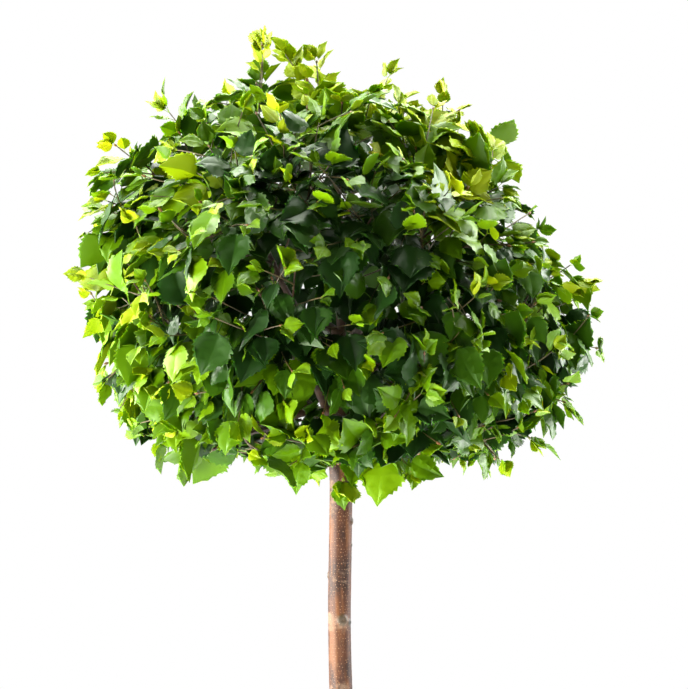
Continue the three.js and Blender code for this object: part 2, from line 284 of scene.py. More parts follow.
def reach(start, toward):  # the distance to the outline
    near, far = 0, 2 * growth["radius"]
    for _ in range(20):
        half = (near + far) / 2
        if crownLevel(start + toward * half) < 1:
            near = half
        else:
            far = half
    return near


def fallingBack(toward):  # the share of the outline that is left where the crown falls back
    return math.prod(1 - depth * nearness(toward, hollow, width) for hollow, depth, width in hollows)


def leafyReach(toward):
    return reach(middle, toward) * fallingBack(toward)


cells = []
for ringName, count, elevation, turn in growth["rings"]:
    for k in range(count):
        azimuth = math.radians(turn + 360 * k / count)
        toward = heading(azimuth, math.radians(elevation))
        cells.append({"ring": ringName, "k": k, "azimuth": azimuth, "toward": toward,
                      "length": reach(fork, toward)})
for cell in cells:
    cell["walls"] = np.array([unit(cell["toward"] - o["toward"]) for o in cells if o is not cell])


def clearance(cell, point):
    return np.min(cell["walls"] @ (point - fork))


def nearBareStem(point):
    return math.hypot(*point[:2]) < growth["bareRadius"] and point[2] < growth["waist"]


def alongCell(cell, share):
    return fork + cell["toward"] * share * cell["length"]


class Path:  # a Bezier curve, walked by its length
    def __init__(self, *controls):
        t = np.linspace(0, 1, 121)[:, None]
        rows = [np.array(c, float) for c in controls]
        while len(rows) > 1:
            rows = [a * (1 - t) + b * t for a, b in zip(rows, rows[1:])]
        self.points = rows[0]
        steps = norm(np.diff(self.points, axis=0), axis=1)
        self.walked = np.concatenate([[0], np.cumsum(steps)])
        self.length = float(self.walked[-1])

    def at(self, share):
        return np.array([np.interp(share * self.length, self.walked, row) for row in self.points.T])

    def along(self, share):
        return unit(self.at(min(share + 0.02, 1)) - self.at(max(share - 0.02, 0)))


def limb(path, base, tip, key, first=0, mood=0, kind="twig", young=0):  # bare up to the share first
    return {"path": path, "base": base, "tip": tip, "key": key,
            "first": first, "mood": mood, "kind": kind, "young": young}


# Boughs

bough = {
    "radius": {"top": 0.009, "upper": 0.0064, "girdle": 0.0074, "skirt": 0.0054}, "tip": 0.0038,
    "rise": {"top": 0, "upper": 0.08, "girdle": 0.1, "skirt": -0.04},  # upward arch, a share of the length
    "key": {"top": 900, "upper": 910, "girdle": 920, "skirt": 930, "stem": 950},
    "graft": 0.990, "leaderFrom": 1.034 - 0.008, "aboveGraft": 0.014, "belowGraft": 0.008,
    "upperFrom": 0.1, "upperStep": 0.09, "skirtFrom": 0.4,  # shares of the older bough
    "lift": 0.35, "settle": 0.3,
    "step": 0.0045, "roundness": 4, "collar": 0.55, "collarLength": 0.010,
    "knuckle": 0.10, "knuckleGap": 0.034, "relief": 0.0009,
}


def boughPath(start, cell, rise):
    end = alongCell(cell, growth["boughEnd"])
    length = norm(end - start)
    lift = start + bough["lift"] * (end - start) + up * rise * length
    settle = end - cell["toward"] * bough["settle"] * length
    return Path(start, lift, settle, end)


def cellsIn(ringName):
    return [cell for cell in cells if cell["ring"] == ringName]


def growBoughs():
    grown = []

    def grow(cell, start):
        ring = cell["ring"]
        key = bough["key"][ring] + cell["k"]
        cell["bough"] = boughPath(start, cell, bough["rise"][ring])
        grown.append(limb(cell["bough"], bough["radius"][ring], bough["tip"], key))

    leader, girdle = cellsIn("top")[0], cellsIn("girdle")
    grow(leader, up * bough["leaderFrom"])
    for cell in cellsIn("upper"):
        grow(cell, leader["bough"].at(bough["upperFrom"] + bough["upperStep"] * ((cell["k"] * 2) % 5)))
    for cell in girdle:
        grow(cell, up * (bough["graft"] + (bough["aboveGraft"] if cell["k"] % 2 else -bough["belowGraft"])))
    for cell in cellsIn("skirt"):
        grow(cell, girdle[cell["k"]]["bough"].at(bough["skirtFrom"]))
    return grown


# Stems, twigs and twiglets inside the masses

twig = {
    "stemTip": 0.0022, "stemStart": 0.012, "stemBend": 0.009,
    "base": 0.0015, "tip": 0.0009, "mainFrom": 0.06, "mainSpan": 0.6, "mainArch": 0.12, "mainBare": 0.45,
    "sideBase": 0.0010, "sideTip": 0.0007, "sideGap": 0.046, "sideFrom": 0.26, "sideSpan": 0.7,
    "sideLength": 0.052, "sideSpread": 0.050, "sideReach": 0.915,
    "sideTurn": 1.7, "sideArch": 0.1, "sideBare": 0.22,
    "sideAim": (0.8, 0.55, 0.35),  # sideways, onward and outward
    # depth in the crown, number of spots and the room round each that is free of leaves
    "layers": [(0.87, 700, 0.036), (0.68, 360, 0.042), (0.48, 180, 0.048)],
    "layerKey": 30000, "layerKeys": 2000, "rootedFrom": 0.15, "sampleGap": 0.012,
    "backed": 0.05, "fillBare": 0.055, "mostBare": 0.6, "leastLeafy": 0.015, "fillSag": 0.12,
    "costOfWay": 1.6, "worthOfDepth": 0.6,
    "step": 0.009, "roundness": 1, "collar": 0.4, "collarLength": 0.004,
    "knuckle": 0.28, "knuckleGap": 0.015, "youngColour": (0.080, 0.058, 0.016),
}
# first key, how much deeper the root lies, length left bare and how much younger the leaves are
longShoots = {"stray": (40000, 0.06, 0.045, 0.35), "hanging": (45000, 0.05, 0.06, 0),
              "closing": (46000, 0.05, 0.06, 0)}
sprout = {
    "key": 50000, "base": 0.0013, "tip": 0.0009, "from": 0.014, "lift": 0.3, "arch": 0.002,
    "bare": 0.55, "mood": 0.92, "size": 0.020, "spread": 0.016, "hang": 1.2,
    # azimuth in degrees, height and length
    "places": [(-84, 0.944, 0.012), (-60, 0.976, 0.020), (-130, 0.970, 0.018), (60, 0.960, 0.018)],
}


def massStem(cell):
    start = alongCell(cell, growth["boughEnd"]) + cell["toward"] * growth["gap"]
    end = alongCell(cell, growth["stemReach"])
    side = np.cross(cell["toward"], heading(cell["azimuth"] + 1.2, 0.3))
    bend = (start + end) / 2 + unit(side) * twig["stemBend"]
    return Path(start, start + cell["toward"] * twig["stemStart"], bend, end)


def twigTips():  # spread evenly over the crown, just under its outline
    tips = []
    for k in range(growth["twigCount"]):
        height = 1 - (2 * k + 1) / growth["twigCount"]
        azimuth = k * goldenAngle + scatter(k, 1, 0.5)
        toward = heading(azimuth, math.asin(height))
        tip = middle + toward * (growth["twigReach"] + scatter(k, 2, 0.08)) * leafyReach(toward)
        if not nearBareStem(tip):
            away = unit(tip - fork)
            cell = max(cells, key=lambda one: np.dot(one["toward"], away))
            angle = math.acos(np.dot(away, cell["toward"]))
            tips.append({"k": k, "tip": tip, "cell": cell, "angle": angle})
    return tips


def twigPath(cell, tip, share):
    start = cell["stem"].at(share)
    end = tip.copy()
    while clearance(cell, end) < growth["twigMargin"]:
        end += (alongCell(cell, growth["stemReach"]) - end) * 0.06
    arch = twig["mainArch"] * norm(end - start)
    return Path(start, (start + end) / 2 + cell["toward"] * arch, end)


def pulledIn(point, most):  # brought back under the outline where it would leave it
    away = point - middle
    toward = unit(away)
    limit = most * leafyReach(toward)
    return middle + toward * min(norm(away), limit)


def sideTwigs(parent):
    count = max(2, round(parent["path"].length / twig["sideGap"]))
    aside, onward, out = twig["sideAim"]
    grown = []
    for j in range(count):
        key = 10 * parent["key"] + j + 1
        share = twig["sideFrom"] + twig["sideSpan"] * (j + 0.5) / count
        start, along = parent["path"].at(share), parent["path"].along(share)
        outward = unit(start - middle)
        side = unit(np.cross(along, outward)) * (1 if j % 2 else -1)
        side = turned(side, along, scatter(key, 5, twig["sideTurn"]))
        length = twig["sideLength"] + twig["sideSpread"] * chance(key, 6)
        aim = unit(side * aside + along * onward + outward * out)
        end = pulledIn(start + aim * length, twig["sideReach"] + scatter(key, 7, 0.05))
        bend = start + (end - start) * 0.5 + outward * twig["sideArch"] * length
        grown.append(limb(Path(start, bend, end), twig["sideBase"], twig["sideTip"], key,
                          twig["sideBare"], chance(key, 8)))
    return grown


def growTwigs():
    stems, shoots = [], []
    tips = twigTips()
    for index, cell in enumerate(cells):
        cell["stem"] = massStem(cell)
        inner = limb(cell["stem"], bough["tip"], twig["stemTip"], bough["key"]["stem"] + index)
        stems.append(inner)
        shoots.extend(sideTwigs(inner))
        own = sorted([t for t in tips if t["cell"] is cell], key=lambda t: -t["angle"])
        for rank, one in enumerate(own):
            path = twigPath(cell, one["tip"], twig["mainFrom"] + twig["mainSpan"] * rank / len(own))
            main = limb(path, twig["base"], twig["tip"], one["k"], twig["mainBare"], chance(one["k"], 8))
            shoots.append(main)
            shoots.extend(sideTwigs(main))
    return stems, shoots


def sampled(shoot):  # where leaves can hang on a shoot
    count = max(2, round(shoot["path"].length * (1 - shoot["first"]) / twig["sampleGap"]))
    shares = np.linspace(shoot["first"], 1, count)
    return [shoot["path"].at(share) for share in shares]


def nearestRoot(rooted, spot, backed):  # the nearest place on the wood that lies deeper in the crown
    away = norm(spot - middle)
    depth = away - norm(rooted - middle, axis=1)
    deeper, depth = rooted[depth > backed], depth[depth > backed]
    cost = norm(deeper - spot, axis=1) * twig["costOfWay"] - depth * twig["worthOfDepth"]
    return deeper[np.argmin(cost)] if len(deeper) else None


def reaching(start, spot, key, bare, kind="twig", young=0):
    length = norm(spot - start)
    bend = start * 0.4 + spot * 0.6 - unit(spot - middle) * twig["fillSag"] * length
    first = min(twig["mostBare"], 1 - bare / max(length, bare + twig["leastLeafy"]))
    path = Path(start, bend, spot)
    return limb(path, twig["sideBase"], twig["sideTip"], key, first, chance(key, 8), kind, young)


def fillBareSpots(stems, shoots):  # twigs reach for the spots of the crown that no leaf shades
    whole = [{**one, "first": twig["rootedFrom"]} for one in stems + shoots]
    rooted = np.array([spot for one in whole for spot in sampled(one)])
    leafy = np.array([spot for one in shoots for spot in sampled(one)])
    for layer, (depth, count, room) in enumerate(twig["layers"]):
        for k in range(count):
            key = twig["layerKey"] + twig["layerKeys"] * layer + k
            toward = heading(k * goldenAngle, math.asin(1 - (2 * k + 1) / count))
            spot = middle + toward * (depth + scatter(key, 41, 0.06)) * leafyReach(toward)
            if nearBareStem(spot) or np.min(norm(leafy - spot, axis=1)) < room:
                continue
            start = nearestRoot(rooted, spot, twig["backed"])
            if start is None:
                continue
            shoots.append(reaching(start, spot, key, twig["fillBare"]))
            fresh = sampled(shoots[-1])
            rooted, leafy = np.vstack([rooted, fresh]), np.vstack([leafy, fresh])
    return rooted


def growLongShoots(rooted):
    grown = []
    for kind, (firstKey, backed, bare, young) in longShoots.items():
        for k, (toward, share) in enumerate(placesOf(kind)):
            spot = middle + toward * share * reach(middle, toward)
            start = nearestRoot(rooted, spot, backed)
            grown.append(reaching(start, spot, firstKey + k, bare, kind, young))
    return grown


def growSprouts():  # buds low on the stem have opened into a few leaves
    grown = []
    for k, (azimuth, height, length) in enumerate(sprout["places"]):
        away = heading(math.radians(azimuth), 0)
        start = away * sprout["from"] + up * height
        end = start + away * length + up * length * sprout["lift"]
        path = Path(start, (start + end) / 2 + up * sprout["arch"], end)
        grown.append(limb(path, sprout["base"], sprout["tip"], sprout["key"] + k,
                          sprout["bare"], sprout["mood"], "sprout"))
    return grown


def limbPiece(name, limbs, look, material, minSteps=3):
    curve = bpy.data.curves.new(name, "CURVE")
    curve.dimensions = "3D"
    curve.bevel_depth = 1
    curve.bevel_resolution = look["roundness"]
    curve.use_fill_caps = True
    for one in limbs:
        steps = max(minSteps, round(one["path"].length / look["step"]))
        spline = curve.splines.new("POLY")
        spline.points.add(steps)
        for i, point in enumerate(spline.points):
            share = i / steps
            walked = share * one["path"].length
            radius = one["base"] + (one["tip"] - one["base"]) * share
            radius *= 1 + look["collar"] * math.exp(-walked / look["collarLength"])
            beat = math.sin(math.pi * walked / look["knuckleGap"] + one["key"]) ** 8
            point.co = (*one["path"].at(share), 1)
            point.radius = radius * (1 + look["knuckle"] * beat)
    obj = linked(name, curve)
    pick(obj)
    bpy.ops.object.convert(target="MESH")
    mendMesh(obj, 0.000001, 50)
    obj.data.materials.append(material)
    return obj


# Leaves

leaf = {
    # the blade, in shares of its length
    "stations": (0, 0.06, 0.20, 0.40, 0.66, 1), "widest": 0.58, "taper": 1.08, "swept": 0.10, "tip": 0.07,
    "rim": 0.032, "uneven": 0.05, "thickness": 0.026, "belly": 1.4, "puff": 0.038,
    "veinWidth": 0.048, "midribWidth": 0.030, "stalk": 0.30, "stalkRadius": 0.014,
    # place and height of the tooth, notch and tooth along each stretch of the margin
    "teeth": ((0.36, 0.120), (0.525, 0), (0.86, 0.120)), "thinning": 0.65,
    "crease": 38, "spacing": 0.0138, "endLeaves": 3, "hang": 1.15, "mostInPiece": 850,
    # lengths of the blade: full-grown, at a shoot's end and at a stray's end
    "size": 0.032, "spread": 0.029, "endSize": 0.015, "strayEndSize": 0.030, "endSpread": 0.016,
    "straySize": 0.75, "youngShrink": 0.11,
    "aim": (0.45, 0.4, 0.5),    # sideways, outward and at random
    "face": (0.7, 0.5, 1.45),   # outward, upward and at random
    # how far out a leaf may reach, as a share of the outline
    "reach": (0.85, 0.96), "freeReach": 1.12, "slack": 0.04, "fray": 0.05, "rimDraw": 0.12, "rimFrom": 0.25,
    # the last key: below each of its shares of the outline a leaf is a colour step darker, a painted shade
    # inside the crown
    "stemClear": 0.021, "lowest": 0.912, "paintedShadeDepths": (0.84, 0.76, 0.66),
}
# fold along the midrib, cup of each half, droop of the tip, wave of the margin, width, sideways bend, twist
leafForms = [
    (0.16, 0.18, 0.22, 0.05, 0.86, 0.02, 0.10),
    (0.36, 0.16, 0.38, 0.07, 0.78, 0.06, -0.22),
    (0.12, 0.28, 0.50, 0.08, 0.84, -0.06, 0.26),
    (0.48, 0.10, 0.26, 0.06, 0.80, 0.04, 0.18),
    (0.26, 0.34, 0.78, 0.08, 0.78, -0.05, -0.26),
    (0.05, 0.36, 0.32, 0.08, 0.88, 0.07, 0.32),
]


def leafBlade(form):  # one leaf of length 1 along X, its stalk's foot at the origin, facing +Z
    fold, cup, droop, wave, width, bend, twist = form
    stations = leaf["stations"]
    last = len(stations) - 1
    inside = range(1, last)
    points, faces, kinds = [], [], []  # kinds: 0 blade, 1 underside, 2 stalk, veins and rim, whose pale colour on the rim is partly a painted highlight
    belly = -leaf["belly"] * leaf["thickness"]

    def add(point):
        points.append(tuple(point))
        return len(points) - 1

    def addFace(corners, kind, flip=False):
        corners = list(dict.fromkeys(corners))
        if len(corners) > 2:
            faces.append(corners[::-1] if flip else corners)
            kinds.append(kind)

    def surface(u, across, lift=0.0):  # across runs from -1 to 1; rows sweep forward as the veins do
        half = 0.5 * width * max(0.0, math.sin(math.pi * u ** leaf["widest"])) ** leaf["taper"]
        half *= 1 + leaf["uneven"] * math.sin(19 * u + 5 * fold + (2 if across > 0 else 0))
        arch = math.sin(math.pi * u)
        x = leaf["stalk"] + u + leaf["tip"] * u ** 9 + leaf["swept"] * abs(across) * arch
        y = half * across + bend * arch - bend * u ** 3
        z = half * (fold * abs(across) - cup * across * across + twist * across * u)
        z -= 0.6 * droop * u ** 2.3
        z += wave * across * abs(across) * arch * math.sin(8 * u + (1.2 if across > 0 else 0))
        return np.array([x, y, z + lift])

    base, tip = add(surface(0, 0)), add(surface(1, 0))
    under = [base] + [add(surface(stations[i], 0, belly)) for i in inside] + [tip]
    rails = []
    for side in (-1, 1):
        flip = side < 0
        slim = np.array([0, side * leaf["midribWidth"], 0])
        vein = np.array([leaf["veinWidth"], 0, 0])
        centre, inner, ahead, margin, below, lower = ([base] for _ in range(6))
        for i in inside:
            u = stations[i]
            puffed = surface(u, 0.5 * side)
            centre.append(add(surface(u, 0) + slim * (1 - 0.7 * u)))
            inner.append(add(puffed))
            ahead.append(add(puffed + vein * (1 - 0.5 * u)))
            margin.append(add(surface(u, side)))
            below.append(add(surface(u, 0.5 * side, belly)))
            lower.append(add(surface(u, side, -leaf["thickness"])))
        for rail in (centre, inner, ahead, margin, below, lower):
            rail.append(tip)
        rails.append(centre)
        for i in range(last):  # the blade is puffed up between two veins
            puff = leaf["puff"] * (1.6 - abs(2 * i - last + 1) / last)
            high = add(surface(0.45 * stations[i] + 0.55 * stations[i + 1], 0.5 * side, puff))
            addFace([centre[i], centre[i + 1], inner[i + 1], high, ahead[i]], 0, flip)
            addFace([ahead[i], high, inner[i + 1], margin[i + 1], margin[i]], 0, flip)
        for i in inside:  # a vein is a long sliver, widest half way out
            addFace([centre[i], ahead[i], inner[i]], 2, flip)
            addFace([inner[i], ahead[i], margin[i]], 2, flip)
        outline = [base]  # the margin with its teeth, which point forward
        for i in range(last):  # none by the stalk, and the drawn-out tip has only the first
            start, end = stations[i], stations[i + 1]
            atTip = i + 1 == last
            out = unit(np.array([0.35 if i else -0.5, side, 0]))
            edge = [outline[-1]]
            for f, height in leaf["teeth"][:2 if atTip else 3] if i else ():
                thin = 1 - leaf["thinning"] * (i + f) / last
                grown = out * (leaf["rim"] + height) * thin
                edge.append(add(surface(start + (end - start) * f, side) + grown))
            corner = surface(end, side) + out * leaf["rim"] * (1 - 0.5 * i / last)
            edge.append(tip if atTip else add(corner))
            notch = 2 if i else 0
            # the rim's top takes the pale rib colour: partly the leaf's paler edge, partly a painted
            # highlight along the margin
            for rail, kind, over in ((margin, 2, flip), (lower, 1, not flip)):
                addFace([rail[i], rail[i + 1], edge[notch]], kind, over)
                for j in range(len(edge) - 1):
                    addFace([rail[i] if j < notch else rail[i + 1], edge[j + 1], edge[j]], kind, over)
            addFace([under[i + 1], under[i], below[i], below[i + 1]], 1, flip)
            addFace([below[i + 1], below[i], lower[i], lower[i + 1]], 1, flip)
            outline.extend(edge[1:])
    for i in range(last):
        addFace([rails[0][i], rails[0][i + 1], rails[1][i + 1], rails[1][i]], 2)
    rings = []
    for share, size in ((0, 1.3), (1.1, 0.8)):  # the stalk
        ring = []
        for turn in (90, 210, 330):
            angle = math.radians(turn)
            spot = [leaf["stalk"] * share, 0, -0.012 * share]
            away = np.array([0, math.cos(angle), math.sin(angle)])
            ring.append(add(spot + leaf["stalkRadius"] * size * away))
        rings.append(ring)
    foot, head = rings
    addFace(foot[::-1], 2)
    addFace(head, 2)
    for j in range(3):
        k = (j + 1) % 3
        addFace([foot[j], foot[k], head[k], head[j]], 2)
    return np.array(points), faces, kinds


def copiesMesh(name, shape, places):  # one mesh of many copies of a shape
    points, faces, kinds = shape
    counts = np.array([len(f) for f in faces])
    corners = np.concatenate(faces)
    many = len(places)
    turns = np.array([p[0] for p in places])
    moves = np.array([p[1] for p in places])
    spots = np.einsum("nij,vj->nvi", turns, points) + moves[:, None, :]
    offsets = np.arange(many) * len(points)
    allCorners = (corners[None, :] + offsets[:, None]).ravel()
    allCounts = np.tile(counts, many)
    mesh = bpy.data.meshes.new(name)
    mesh.vertices.add(many * len(points))
    mesh.vertices.foreach_set("co", spots.ravel().astype(np.float32))
    mesh.loops.add(len(allCorners))
    mesh.loops.foreach_set("vertex_index", allCorners.astype(np.int32))
    mesh.polygons.add(len(allCounts))
    starts = np.concatenate([[0], np.cumsum(allCounts)[:-1]])
    mesh.polygons.foreach_set("loop_start", starts.astype(np.int32))
    mesh.polygons.foreach_set("material_index", np.tile(kinds, many).astype(np.int32))
    mesh.update(calc_edges=True)
    return mesh


def turnOf(axis, face, size, width):  # the matrix that lays a leaf along axis with its face outward
    face = unit(face - axis * np.dot(face, axis))
    across = np.cross(face, axis)
    return np.stack([axis * size, across * size * width, face * size], axis=1)


# leaf colours, dealt out by spray, from the oldest, whose darker and lighter steps also serve as painted
# shade and painted light: top, underside, and the pale colour of rib, veins, stalk and rim (on the rim
# partly a painted highlight), and the top's roughness
leafColours = {
    "bottle": ((0.010, 0.034, 0.005), (0.045, 0.080, 0.018), (0.12, 0.22, 0.04), 0.36),
    "deep": ((0.015, 0.050, 0.004), (0.055, 0.098, 0.014), (0.17, 0.30, 0.04), 0.37),
    "dark": ((0.031, 0.090, 0.002), (0.075, 0.125, 0.012), (0.24, 0.40, 0.03), 0.38),
    "mid": ((0.068, 0.155, 0.000), (0.110, 0.180, 0.008), (0.34, 0.48, 0.03), 0.39),
    "bright": ((0.120, 0.232, 0.000), (0.155, 0.235, 0.008), (0.38, 0.52, 0.03), 0.41),
    "fresh": ((0.220, 0.315, 0.000), (0.205, 0.295, 0.006), (0.48, 0.57, 0.04), 0.44),
    "lime": ((0.275, 0.345, 0.000), (0.310, 0.370, 0.006), (0.56, 0.60, 0.05), 0.47),
    "yellow": ((0.370, 0.375, 0.002), (0.380, 0.385, 0.012), (0.62, 0.60, 0.06), 0.50),
}
colourOrder = list(leafColours)
mid, bright, lime = [colourOrder.index(name) for name in ("mid", "bright", "lime")]
sprayMoods = [0.13, 0.33, 0.60, 0.90, 1.05, 1.18]  # a spray's mood below the first is the darkest
# the way the lamps fall from: sprays that face it are given lighter colour steps, a painted light
paintedLightFrom = unit(np.array([-0.40, 0.04, 0.80]))


def sprayColour(shoot):  # its own mood and youth, lighter toward the upper left where the lamps fall (painted light) and on the crown's lower rim, then darker or lighter by place
    outward = unit(shoot["path"].at(1) - middle)
    paintedLight = np.dot(outward, paintedLightFrom)
    mood = shoot["mood"] + 0.28 * paintedLight + 0.14 * max(0, -outward[2]) + shoot["young"]
    # darker or lighter by place: partly age, partly painted shade and painted light
    mood -= sum(amount * nearness(outward, centre, width) for centre, amount, width in ageAndShadePlaces)
    return sum(mood > step for step in sprayMoods)


def outness(point):  # about the point's share of the way to the outline
    return crownLevel(point) ** 0.4 / fallingBack(unit(point - middle))


def leavesOf(shoot):
    path, first = shoot["path"], shoot["first"]
    isStray, isSprout = shoot["kind"] == "stray", shoot["kind"] == "sprout"
    isFree = shoot["kind"] in ("stray", "hanging")
    count = max(2, round(path.length * (1 - first) / leaf["spacing"]))
    tone = max(mid if isFree else 0, sprayColour(shoot))
    low, high = leaf["reach"]
    limit = leaf["freeReach"] if isFree else low + (high - low) * chance(shoot["key"], 24)
    aside, out, wildAim = leaf["aim"]
    outFace, upFace, wildFace = leaf["face"]
    placed = []
    for n in range(count + leaf["endLeaves"]):
        key = shoot["key"] + 0.37 * n
        atEnd = n >= count
        share = min(1, first + (1 - first) * (n + 0.3 * chance(key, 11)) / count)
        base, along = path.at(share), path.along(share)
        outward = unit(base - middle)
        wild = np.array([scatter(key, salt, 1) for salt in (12, 13, 14)])
        side = unit(np.cross(along, outward)) * (1 if n % 2 else -1)
        side = turned(side, along, scatter(key, 15, 1.5))
        drawn = leaf["rimDraw"] * max(0, -outward[2] - leaf["rimFrom"])
        colour = tone
        size = leaf["size"] + leaf["spread"] * chance(key, 16) ** 1.3
        if atEnd:  # the young leaves at a shoot's end
            colour = min(lime, max(mid, tone + 1) + (chance(key, 17) > 0.5)) + (chance(key, 18) > 0.88)
            size = leaf["strayEndSize" if isStray else "endSize"] + leaf["endSpread"] * chance(key, 19)
        elif chance(key, 20) > 0.75:
            colour = min(lime, tone + 1)
        elif chance(key, 20) < 0.15:
            colour = max(0, tone - 1)
        size *= (leaf["straySize"] if isStray else 1) * (1 - leaf["youngShrink"] * max(0, colour - bright))
        hang = leaf["hang"] * (1 - 0.8 * max(0, outward[2])) * (0.35 if atEnd or isStray else 1)
        onward = 0.9 if atEnd else 0.35
        if isSprout:
            outward = unit(outward * (1, 1, 0))
            size = sprout["size"] + sprout["spread"] * chance(key, 19)
            hang = sprout["hang"]
        most = max(limit, outness(base) + leaf["slack"]) + leaf["fray"] * chance(key, 23) - drawn
        for ease in (1, 0.6, 0.25, 0):  # a leaf that would hang out of the crown is held nearer to level
            aim = side * aside + along * onward + outward * out * ease - up * hang * ease + wild * wildAim
            axis = unit(aim)
            end = base + axis * size * 1.25
            reached = outness(end)
            if isSprout or reached < most:
                break
        else:
            continue
        if not isSprout:
            colour = max(0, colour - sum(reached < depth for depth in leaf["paintedShadeDepths"]))  # painted shade: a colour step darker for each depth the leaf lies inside the crown
            nearStem = math.hypot(*end[:2]) < leaf["stemClear"] and end[2] < trunkTop
            if nearStem or end[2] < leaf["lowest"]:
                continue
        face = outward * outFace + up * upFace + wild[::-1] * wildFace
        form = int(chance(key, 21) * len(leafForms))
        width = 0.92 + 0.2 * chance(key, 22)
        placed.append((colour, form, turnOf(axis, face, size, width), base))
    return placed


def leafMaterials(name, look):
    top, under, ribAndRimGlint, rough = look
    return [Sheet(f"leaf_{name}_{part}").finish(
        Base_Color=(*colour, 1), Roughness=roughness, Specular_IOR_Level=0.23,
        Specular_Tint=(0.85, 1.0, 0.75, 1), Subsurface_Weight=0.15,
        Subsurface_Radius=(0.6, 1.0, 0.1), Subsurface_Scale=0.002)
        for part, colour, roughness in (("top", top, rough), ("under", under, 0.62), ("ribAndRimGlint", ribAndRimGlint, 0.5))]


def leafPieces(shoots):
    shapes = [leafBlade(form) for form in leafForms]
    dealt = {}
    for shoot in shoots:
        for colour, form, turn, base in leavesOf(shoot):
            dealt.setdefault(colour, []).append((form, turn, base))
    made = []
    most = leaf["mostInPiece"]
    for colour, places in sorted(dealt.items()):
        name = colourOrder[colour]
        materials = leafMaterials(name, leafColours[name])
        for part in range(0, len(places), most):
            objects = []
            for form, shape in enumerate(shapes):
                own = [(turn, base) for f, turn, base in places[part:part + most] if f == form]
                if own:
                    objects.append(linked("leafCopies", copiesMesh("leafCopies", shape, own)))
            pick(*objects)
            bpy.ops.object.join()
            piece = bpy.context.object
            piece.name = piece.data.name = f"leaves_{name}_{part // most + 1}"
            piece.data.materials.clear()
            for material in materials:
                piece.data.materials.append(material)
            smooth(leaf["crease"])
            made.append(piece)
        print(f"{name} leaves: {len(places)}")
    return made


# Buds

bud = {"length": 0.0062, "radius": 0.0017, "share": 0.55, "colour": (0.190, 0.080, 0.028)}


def budShape():  # a plump five-sided bud of length 1 along X
    points = [(-0.1, 0, 0), (1, 0, 0)]
    for x, radius in ((0.12, 0.7), (0.42, 1.0), (0.75, 0.55)):
        points += [(x, radius * math.cos(a), radius * math.sin(a)) for a in np.arange(5) * 0.4 * math.pi]
    faces = []
    for j in range(5):
        k = (j + 1) % 5
        faces.append([0, 2 + k, 2 + j])
        faces.append([1, 12 + j, 12 + k])
        faces += [[2 + 5 * r + j, 2 + 5 * r + k, 7 + 5 * r + k, 7 + 5 * r + j] for r in range(2)]
    return np.array(points), faces, [0] * len(faces)


def makeBuds(shoots, material):
    places = []
    for shoot in shoots:
        if chance(shoot["key"], 51) > bud["share"] or shoot["kind"] == "sprout":
            continue
        along = shoot["path"].along(1)
        across = unit(np.cross(along, up))
        size = 0.75 + 0.5 * chance(shoot["key"], 52)
        thick = bud["radius"] * size
        axes = [along * bud["length"] * size, across * thick, np.cross(along, across) * thick]
        places.append((np.stack(axes, axis=1), shoot["path"].at(1)))
    obj = linked("buds", copiesMesh("buds", budShape(), places))
    obj.data.materials.append(material)
    pick(obj)
    smooth(60)
    print(f"buds: {len(places)}")
    return obj


# Trunk

trunk = {
    "radius": 0.0152, "taper": 0.001, "foot": 0.027, "flare": 0.075, "flareFall": 3.2, "buttress": 0.14,
    "graftRadius": 0.0195, "graftWidth": 0.026, "domeFrom": 1.012,
    "sway": 0.0034, "swayStart": 0.66, "swayLength": 0.54,
    # the skin's relief: waves around, waves up and depth
    "relief": ((0.9, 9, 0.0006), (1.6, 130, 0.00016)),
    "around": 84, "rows": 760,
}
# height, azimuth in degrees, size and darkness of the pruning scars and resting buds
scars = [(0.888, -10, 0.0065, 0.1), (0.856, -12, 0.0035, 1), (0.815, 178, 0.006, 0),
         (0.756, -74, 0.0095, 0.1), (0.752, -30, 0.006, 1), (0.610, 120, 0.009, 0.5),
         (0.470, -150, 0.008, 0.6), (0.305, -40, 0.010, 0.4), (0.180, 70, 0.008, 0.8)]


def stemOffset(height):
    share = min(1, height / bough["graft"])
    wave = math.sin(math.tau * (share - trunk["swayStart"]) / trunk["swayLength"])
    return -trunk["sway"] * math.sin(math.pi * share) * wave


def stemRadius(height):
    flare = trunk["foot"] - trunk["radius"] - trunk["taper"]
    flare *= math.exp(-trunk["flareFall"] * height / trunk["flare"])
    taper = trunk["taper"] * (1 - height / bough["graft"])
    graft = trunk["graftRadius"] - trunk["radius"]
    graft *= math.exp(-((height - bough["graft"]) / trunk["graftWidth"]) ** 2)
    return trunk["radius"] + flare + taper + graft


def stemPoint(height, azimuth, out=0):
    radius = stemRadius(height)
    if height > trunk["domeFrom"]:  # the cut top of the stock is healed over, round
        share = (height - trunk["domeFrom"]) / (trunkTop - trunk["domeFrom"])
        radius *= math.sqrt(max(0, 1 - 0.72 * share ** 2.2))
    radius *= 1 + trunk["buttress"] * math.exp(-3 * height / trunk["flare"]) * math.sin(4 * azimuth + 0.6)
    for scarHeight, scarAzimuth, size, knot in scars:
        if abs(height - scarHeight) < 2.5 * size:
            turn = (azimuth - math.radians(scarAzimuth) + math.pi) % math.tau - math.pi
            q = math.hypot(turn * radius / size, (height - scarHeight) / (size * 0.85))
            out += size * (0.30 * math.exp(-(q / 0.8) ** 4) - 0.14 * math.exp(-(q / 0.35) ** 2))
    cosine, sine = math.cos(azimuth), math.sin(azimuth)
    return Vector((stemOffset(height) + (radius + out) * cosine, (radius + out) * sine, height))


def barkLift(height, azimuth):  # the fine relief of the skin
    lift = 0
    for around, upward, depth in trunk["relief"]:
        spot = (math.cos(azimuth) * around, math.sin(azimuth) * around, height * upward)
        lift += noise.noise(Vector(spot)) * depth
    return lift


